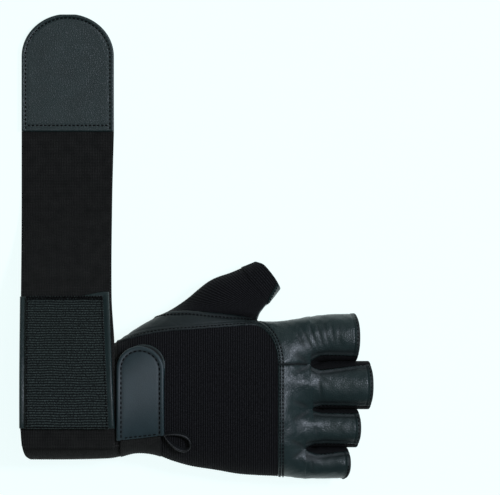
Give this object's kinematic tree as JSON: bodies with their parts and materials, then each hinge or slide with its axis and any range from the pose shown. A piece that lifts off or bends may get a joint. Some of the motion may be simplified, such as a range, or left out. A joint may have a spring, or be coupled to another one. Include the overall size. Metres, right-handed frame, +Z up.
{
  "type": "weightlifting glove",
  "caption": "Half-finger weightlifting glove for the right hand, leather and ribbed knit, with a long wrist wrap laid out to the thumb side and a narrow wrist closure.",
  "frame": {"origin": "on the flat rest face of the palm leather, under the middle of the palm", "axes": "+X from the wrist to the fingertips, +Y towards the thumb and along the laid-out wrist wrap, +Z up through the back of the hand"},
  "size_m": [0.1946, 0.2556, 0.045],
  "materials": {
    "nappa_leather": "soft satin, grained",
    "palm_leather": "matte, fine grain",
    "rib_knit": "ribbed, matte",
    "stretch_gusset": "smooth stretch knit",
    "woven_elastic": "woven with fine cross ribs",
    "hook_fastener": "ribbed pile",
    "satin_tape": "satin"
  },
  "bodies": {
    "root": {"back_panel": "rib_knit", "palm_panel": "palm_leather", "index_panel": "nappa_leather", "fingers_panel": "nappa_leather", "gusset_index_middle": "stretch_gusset", "gusset_middle_ring": "stretch_gusset", "gusset_ring_little": "stretch_gusset", "thumb_back": "rib_knit", "thumb_palm": "palm_leather", "thumb_hem": "rib_knit", "wrist_band": "woven_elastic", "wrap_band": "woven_elastic", "wrap_backing": "nappa_leather", "wrap_patch": "hook_fastener", "wrap_tab": "nappa_leather", "wrap_hook": "hook_fastener", "closure_tab": "nappa_leather", "closure_fastener": "hook_fastener", "closure_elastic": "woven_elastic", "pull_loop": "satin_tape"}
  },
  "joints": []
}
